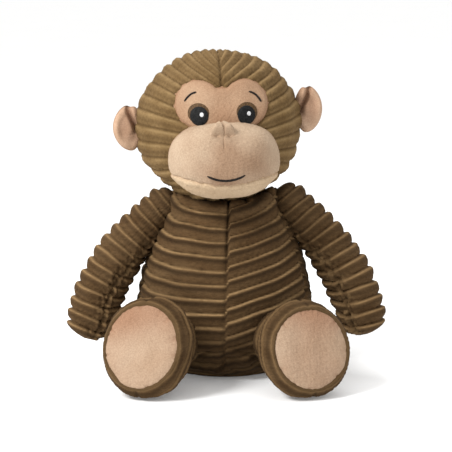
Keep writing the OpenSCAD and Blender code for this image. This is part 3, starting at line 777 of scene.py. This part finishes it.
def make_face():
    columns = 320
    a = np.arange(columns) * TAU / columns - np.pi
    reach = face_outline(a)
    t = np.concatenate([np.linspace(0.01, 0.9, 90), np.linspace(0.905, 1.03, 30)])[:, None]
    x = FACE_C[0] + t * reach * np.cos(a)
    z = FACE_C[1] + t * reach * np.sin(a)
    inside = (1.0 - t) * reach
    proud = face_swell(x, z) - 3.0 * bump(np.clip(inside, 0, None), 2.0) - 1.5 * (inside < 0)
    grid = np.stack([x, head_front(x, z) - proud, z], -1)
    grid[..., 1] += 0.3 * waves(grid, 16, 71) + 0.1 * waves(grid, 3.4, 72)
    # darker between and beside the eyes, with painted shade along the patch's edge; the fold mark is painted
    # shade at the very edge
    blush_and_shade = 0.75 * bump(np.hypot(x * 0.75, z - 15), 11) + 0.45 * bump(inside, 9)
    blush_and_shade = blush_and_shade + 0.35 * bump(np.hypot(np.abs(x) - 31, z - 12), 9)
    blush_and_shade = np.clip(blush_and_shade + 0.2 * waves(grid, 34, 73), 0, 1)
    marks = {"blush_and_shade": blush_and_shade, "fold": np.clip(bump(inside, 0.9), 0, 1)}
    piece = add_grid("face_plush", to_world(grid), marks=marks, cap_start=True)
    turn_towards(piece, HEAD_M @ np.array([0, -1, 0]))
    return place(piece, "head", PEACH, "face_plush", "face_panel")


MUZZLE_Y = 61.0
MUZZLE_W, MUZZLE_UP, MUZZLE_DOWN, MUZZLE_D = 48.0, 32.0, 35.5, 35.0
NOSE_X, NOSE_TILT = -1.2, math.radians(60)


def chin_seam(x):
    """Height of the seam between muzzle and chin above the muzzle's middle."""
    return -21.6 + 7.8 * (np.hypot(x, 7) / 42) ** 1.2


def nose_height(u, v):
    """The pinched nose over its own width u and length v: narrow above, wide and proud at its lower edge."""
    down = np.clip((9.5 - v) / 19, 0, 1)
    half = 4.6 + 6.4 * down ** 0.9
    across = np.clip(1 - (np.abs(u) / half) ** 2.4, 0, 1) ** 0.6
    along = smooth(-9.8, -6.6, v) * (1 - 0.5 * smooth(-5, 8, v)) * (1 - smooth(5, 12, v))
    puff = 7.4 * across * along + 2.6 * bump(np.abs(u) - 6.2, 3.0) * bump(v + 5, 3.4)
    crease = 2.6 * bump(u + 0.12 * v, 0.9) * smooth(-11, -7, v) * (1 - smooth(6, 11, v))
    return puff - crease - 1.5 * bump(np.hypot(np.abs(u) - 5.6, v + 10.2), 1.9)


def make_muzzle():
    psi = np.linspace(0.01, np.radians(112), 200)[:, None]
    a = (np.arange(460) * TAU / 460)[None, :]
    n = 2.35
    high = np.where(np.sin(a) > 0, MUZZLE_UP, MUZZLE_DOWN)
    reach = 1 / (np.abs(np.cos(a) / MUZZLE_W) ** n + np.abs(np.sin(a) / high) ** n) ** (1 / n)
    x = MUZZLE_X + reach * np.sin(psi) * np.cos(a)
    rise = reach * np.sin(psi) * np.sin(a)
    depth = MUZZLE_D * np.cos(psi) * np.ones_like(a)
    grid = np.stack([x, -MUZZLE_Y - np.where(depth > 0, depth, depth * 0.6), rise + MUZZLE_Z], -1)
    z = grid[..., 2]
    out = normals(grid)
    if out[40, 0, 1] > 0:
        out = -out
    below = rise - chin_seam(x - MUZZLE_X) + 0.35 * waves(grid, 9, 80)
    seam = bump(below, 0.8)
    line = bump(x - NOSE_X, 0.6) * smooth(-13, -8, z) * (1 - smooth(-3, 0, z))
    lift = 0.5 * waves(grid, 26, 81) + 0.12 * waves(grid, 3.4, 82) - 1.3 * seam + 0.7 * bump(below + 3, 2.2)
    lift += 0.4 * waves(grid, 5, 84) * bump(below, 5) - 0.7 * line
    v = MUZZLE_D * (np.arctan2(rise / MUZZLE_UP, depth / MUZZLE_D) - NOSE_TILT)
    nose = nose_height(x - NOSE_X, v) * (rise > 0)
    points = grid + out * (lift + nose)[..., None]
    world = to_world(points)
    upper = below > 0
    # partly blush and partly painted shade: darker over the muzzle's middle and its side away from the key
    # light, and round the mouth; the fold mark is painted shade along the chin seam, the line under the nose,
    # the nose's crease, the nose's lower edge and the muzzle's rim
    blush_and_shade = 0.9 * bump(np.hypot((x - 8) * 0.8, z + 22), 27) + 0.35 * bump(np.hypot(x, (z + 36) * 1.2), 20)
    blush_and_shade = np.where(upper, np.clip(blush_and_shade + 0.15 * waves(grid, 30, 83), 0, 1), 0.12)
    fold = 0.45 * seam + 0.45 * line + bump(psi - np.radians(90), 0.07)
    fold = fold + 0.55 * bump(x - NOSE_X + 0.12 * v, 0.7) * (nose > 1.5)
    fold = fold + 0.5 * bump(v + 9.8, 1.0) * (np.abs(x - NOSE_X) < 10.5)
    fold = np.clip(fold, 0, 1)
    chin = (below[:-1] + below[1:]) / 2 < 0
    pieces = []
    for name, mask, material, slot, replaced in (
        ("muzzle_plush", ~chin, MUZZLE, "face_plush", ("muzzle_panel", "muzzle_stuffing", "nose_stitches")),
        ("chin_plush", chin, CREAM, "chin_plush", ("chin_panel",)),
    ):
        capped = name == "muzzle_plush"
        piece = add_grid(name, world, marks={"blush_and_shade": blush_and_shade, "fold": fold}, keep=mask, cap_start=capped)
        turn_towards(piece, HEAD_M @ np.array([0, -1, 0]))
        place(piece, "head", material, slot, *replaced)
        pieces.append(piece)
    return pieces


# ---- embroidery ----

EYE_X, EYE_Z = 20.3, 15.4


class Surface:
    """Finds the front of some pieces under places given in the head's own frame."""

    def __init__(self, pieces):
        self.trees = [BVHTree.FromPolygons([v.co for v in piece.data.vertices],
                                           [p.vertices for p in piece.data.polygons]) for piece in pieces]
        self.way = Vector(HEAD_M @ np.array([0, 1.0, 0]))

    def depth(self, x, z):
        start = np.array([x, -130.0, z])
        hits = [tree.ray_cast(Vector(to_world(start) * MM), self.way)[3] for tree in self.trees]
        return -130.0 + min(hit for hit in hits if hit is not None) / MM

    def points(self, x, z, proud):
        x, z, proud = (np.asarray(q, float) for q in np.broadcast_arrays(x, z, proud))
        y = np.array([self.depth(*place) for place in zip(x.ravel(), z.ravel())]).reshape(x.shape)
        return np.stack([x, y - proud, z], -1)


def stitched_disc(name, surface, centre, radii, proud, crown, material, slot, node):
    """A raised satin-stitched disc on the face."""
    t = np.concatenate([np.linspace(0.03, 0.8, 10), np.linspace(0.85, 1.0, 7), [1.0]])[:, None]
    a = (np.arange(72) * TAU / 72)[None, :]
    x = centre[0] + t * radii[0] * np.cos(a)
    z = centre[1] + t * radii[1] * np.sin(a)
    rise = proud + crown * np.sqrt(np.clip(1 - t ** 4, 0, 1)) * np.ones_like(x)
    rise[-1] -= proud + 1.0
    grid = surface.points(x, z, rise)
    grid[..., 1] = grid[..., 1].mean() + 0.9 * (grid[..., 1] - grid[..., 1].mean())
    piece = add_grid(name, to_world(grid), cap_start=True)
    turn_towards(piece, HEAD_M @ np.array([0, -1, 0]))
    place(piece, "head", material, slot, node)


def stitched_line(name, surface, points, width, material, slot, node):
    """A rounded, tapered line of satin stitch along places (x, z) on the face."""
    path, at = curve_through(points, 0.5, 3)
    path = surface.points(path[:, 0], path[:, 1], 0.25)
    taper = np.sqrt(np.clip(1 - np.abs(2 * at / at[-1] - 1) ** 8, 0.02, 1))
    twist = 1 + 0.08 * np.sin(at * TAU / 1.1)
    grid = tube_grid(path, width / 2 * taper * twist, 16, np.array([0, -1.0, 0]), 0.7)
    piece = add_grid(name, to_world(grid), cap_start=True, cap_end=True)
    fix_normals(piece)
    place(piece, "head", material, slot, node)


def make_eyes(surface):
    for side in (RIGHT, LEFT):
        name = SIDE_NAMES[side]
        x = side * EYE_X
        stitched_disc(name + "_eye_ring", surface, (x + side * 0.5, EYE_Z + 2.2), (9.2, 8.6), 0.15, 0.35,
                      BROWN_THREAD, "iris_thread", name + "_eye_iris")
        stitched_disc(name + "_eye_disc", surface, (x, EYE_Z), (7.8, 8.0), 0.6, 0.8, BLACK, "black_thread",
                      name + "_eye_pupil")
        stitched_disc(name + "_eye_spark", surface, (x + 2.1, EYE_Z + 1.3), (1.7, 1.9), 1.35, 0.5, WHITE,
                      "white_thread", name + "_eye_glint")


def make_brows(surface):
    lines = {
        RIGHT: [(-32.4, 27.4), (-29.8, 30.8), (-26.2, 33.8), (-21.8, 35.3)],
        LEFT: [(23.3, 34.7), (27.6, 33.2), (31.2, 30.0), (34.0, 25.6)],
    }
    for side, places in lines.items():
        name = SIDE_NAMES[side]
        stitched_line(name + "_brow_stitch", surface, places, 1.9, INK, "brow_thread", name + "_brow")


def make_mouth(surface):
    x = np.linspace(-16.0, 16.4, 9)
    places = np.stack([x, -37.3 + 4.4 * (np.abs(x) / 16) ** 1.9], -1)
    stitched_line("mouth_stitch", surface, places, 2.0, INK, "brow_thread", "mouth_line")


make_head()
face_piece = make_face()
muzzle_pieces = make_muzzle()
on_face = Surface([face_piece])
make_eyes(on_face)
make_brows(on_face)
make_mouth(Surface(muzzle_pieces))


# ---- ears ----

EAR_Z = {RIGHT: 0.5, LEFT: 13.5}


def make_ear(side):
    """A soft ear of two layers, folded forwards along a crease from its root to its upper rim."""
    name = SIDE_NAMES[side]
    t = np.linspace(0.02, 1, 80)[:, None]
    a = (np.arange(170) * TAU / 170)[None, :]
    half_w, half_h = (14.0, 20.5) if side == RIGHT else (12.8, 21.0)
    notch = 1 - 0.10 * bump(np.angle(np.exp(1j * (a - 1.75))), 0.22)
    x = 10.0 + half_w * t * np.cos(a) * notch
    z = half_h * t * np.sin(a) * (1 - 0.14 * np.cos(a)) * notch
    flat = np.stack([x, 0 * x, z], -1)
    # distance from the crease, which bends from the root up to the rim
    crease_x = 3.0 + 7.5 * smooth(-6, 20, z)
    crease = (x - crease_x) * smooth(-9, -2, z)
    groove = bump(crease, 2.3) * smooth(-8, 0, z)
    lobe = bump(np.hypot(x - 15, (z + 4) / 1.3), 10)
    top_lobe = bump(np.hypot(x - 3, (z - 13) / 1.2), 6)
    rim = smooth(0.45, 0.9, t) * (1 - smooth(0.9, 1.0, t))
    forward = 5.5 * lobe + 7.5 * top_lobe + 3.0 * rim - 6.5 * groove + 0.8 * waves(flat, 13, 91 + side)
    pinch = 1 - smooth(-5, 7, x)
    front_y = -3.2 - forward * (1 - 0.6 * pinch) * np.sqrt(np.clip(1 - t ** 5, 0, 1)) + 2.5 * pinch
    front = np.stack([x, front_y, z * (1 - 0.22 * pinch)], -1)
    back_y = 3.6 * np.sqrt(np.clip(1 - t ** 3, 0, 1)) - 3.0 + 0.8 * waves(flat, 13, 95 + side)
    back = np.stack([x, np.maximum(back_y, front_y + 0.4 * (t < 1)), z * (1 - 0.22 * pinch)], -1)
    for part, grid, look in (("front", front, -1), ("back", back, 1)):
        spot = grid * np.array([side, 1, 1]) + np.array([side * (HEAD_W - 4.0), -4, EAR_Z[side]])
        # painted shade towards the pinched root and inside the cup, paler on the rim; the fold mark is
        # painted shade at the root and in the groove
        blush_and_shade = np.clip(0.35 + 0.5 * pinch + 0.4 * (1 - rim) * (look < 0) + 0.2 * waves(grid, 20, 93), 0, 1)
        fold = np.clip(0.7 * pinch + (groove if look < 0 else 0), 0, 1) * np.ones_like(x)
        marks = {"blush_and_shade": blush_and_shade, "fold": fold}
        piece = add_grid(name + "_ear_" + part + "_plush", to_world(spot), marks=marks, cap_start=True)
        turn_towards(piece, HEAD_M @ np.array([0, look, 0]))
        place(piece, name + "_ear", EAR, "face_plush", name + "_ear_" + part)


for ear_side in (RIGHT, LEFT):
    make_ear(ear_side)


# ---- neck and gathered hems ----

def make_neck():
    v = np.linspace(0.05, np.pi * 0.62, 60)
    profile = np.stack([NECK_R * np.sin(v), NECK[2] + NECK_R * np.cos(v)], -1)
    grid, a = lathe(profile[::-1], NECK, 160)
    phase = NECK_PLEATS * a / TAU
    out = normals(grid)
    points = grid + out * (0.8 * ridge(phase) - 0.8)[..., None]
    # the dark and fold marks darken the whole neck: painted shade under the head
    marks = {"lip": 0 * a, "dark": 0.5 + 0 * a, "fold": 0.6 + 0 * a}
    piece = add_grid("neck_plush", points, marks=marks, cap_start=True, cap_end=True)
    fix_normals(piece)
    place(piece, "neck", BROWN, "rib_plush", "neck_plug", "neck_seam")


make_neck()


# how far from the joint each hem lies, its radius, and its pleats
SHOULDER_HEM = (14.8, 9.2, 22)
HIP_HEM = (25.5, 19.0, 36)


def make_hem(side, part, joint_place, direction, away, radius, pleats):
    """The gathered hem of a sleeve or leg, where it is sewn to the body: small pleats round a soft ring."""
    name = SIDE_NAMES[side] + part
    centre = joint_place + away * direction
    across = np.cross(np.array([0, 0, 1.0]), direction)
    across /= np.linalg.norm(across)
    up = np.cross(direction, across)
    rows = 24 * pleats
    turn = (np.arange(rows) * TAU / rows)[:, None]
    tube = (np.arange(20) * TAU / 20)[None, :]
    pleat = ridge(pleats * turn / TAU, 0.7)
    thick = 0.9 + 0.8 * pleat
    reach = radius + thick * np.cos(tube)
    along = 1.3 * thick * np.sin(tube)
    ring = reach[..., None] * (np.cos(turn)[..., None] * across + np.sin(turn)[..., None] * up)
    grid = centre + ring + along[..., None] * direction
    grid += 0.25 * waves(grid, 4, 111)[..., None] * direction
    # paler on the pleats' crests, painted shade between them, and a little painted shade all round
    marks = {"lip": 0.3 * pleat + 0 * along, "dark": 0.6 * (1 - pleat) + 0 * along, "fold": 0.3 + 0 * along}
    # the first row again, to close the ring
    marks = {key: np.concatenate([values, values[:1]]) for key, values in marks.items()}
    piece = add_grid(name + "_hem", np.concatenate([grid, grid[:1]]), marks=marks)
    fix_normals(piece)
    place(piece, name, BROWN, "rib_plush", name + "_seam")


for hem_side in (RIGHT, LEFT):
    make_hem(hem_side, "_shoulder", SHOULDER[hem_side], np.array([-hem_side, 0, 0]), *SHOULDER_HEM)
    make_hem(hem_side, "_hip", HIP[hem_side], -leg_axes(hem_side)[0], *HIP_HEM)


# ---- floor, light and camera ----

def make_stage():
    n = Nodes("floor_paper")
    base = n.mix(n.noise(3), (0.86, 0.86, 0.855), (0.88, 0.88, 0.875))
    n.finish(base, 0.9)
    n.shader.inputs["Emission Color"].default_value = (1, 1, 1, 1)
    n.shader.inputs["Emission Strength"].default_value = 0.12
    mesh = bpy.data.meshes.new("floor")
    size = 30.0
    corners = [(-size, -size, 0), (size, -size, 0), (size, size, 0), (-size, size, 0)]
    mesh.from_pydata(corners, [], [[0, 1, 2, 3]])
    floor = bpy.data.objects.new("floor", mesh)
    bpy.context.scene.collection.objects.link(floor)
    mesh.materials.append(n.material)


def area_light(name, place_m, size, power):
    light = bpy.data.lights.new(name, "AREA")
    light.shape = "DISK"
    light.size = size
    light.energy = power
    lamp = bpy.data.objects.new(name, light)
    lamp.location = place_m
    aim(lamp, (0, 0, 0.15))
    bpy.context.scene.collection.objects.link(lamp)


def aim(item, target):
    direction = Vector(target) - item.location
    item.rotation_euler = direction.to_track_quat("-Z", "Y").to_euler()


def make_light():
    world = bpy.data.worlds.new("studio")
    world.use_nodes = True
    world.node_tree.nodes["Background"].inputs[0].default_value = (1, 1, 1, 1)
    world.node_tree.nodes["Background"].inputs[1].default_value = 1.0
    bpy.context.scene.world = world
    area_light("key", (-1.0, -0.85, 1.2), 0.6, 28)
    area_light("top", (-0.1, 0.35, 1.5), 0.9, 7)
    bpy.context.scene.view_settings.view_transform = "Standard"


def make_camera():
    distance, rise = 1.400, math.radians(10)
    target = (0.0, TORSO_Y * MM - 0.020, 0.131)
    camera = bpy.data.cameras.new("camera")
    camera.lens = 36 * (distance / 0.0009) / 452
    camera.sensor_width = 36
    view = bpy.data.objects.new("camera", camera)
    view.location = (target[0], target[1] - distance * math.cos(rise), target[2] + distance * math.sin(rise))
    aim(view, target)
    bpy.context.scene.collection.objects.link(view)
    bpy.context.scene.camera = view


make_stage()
make_light()
make_camera()
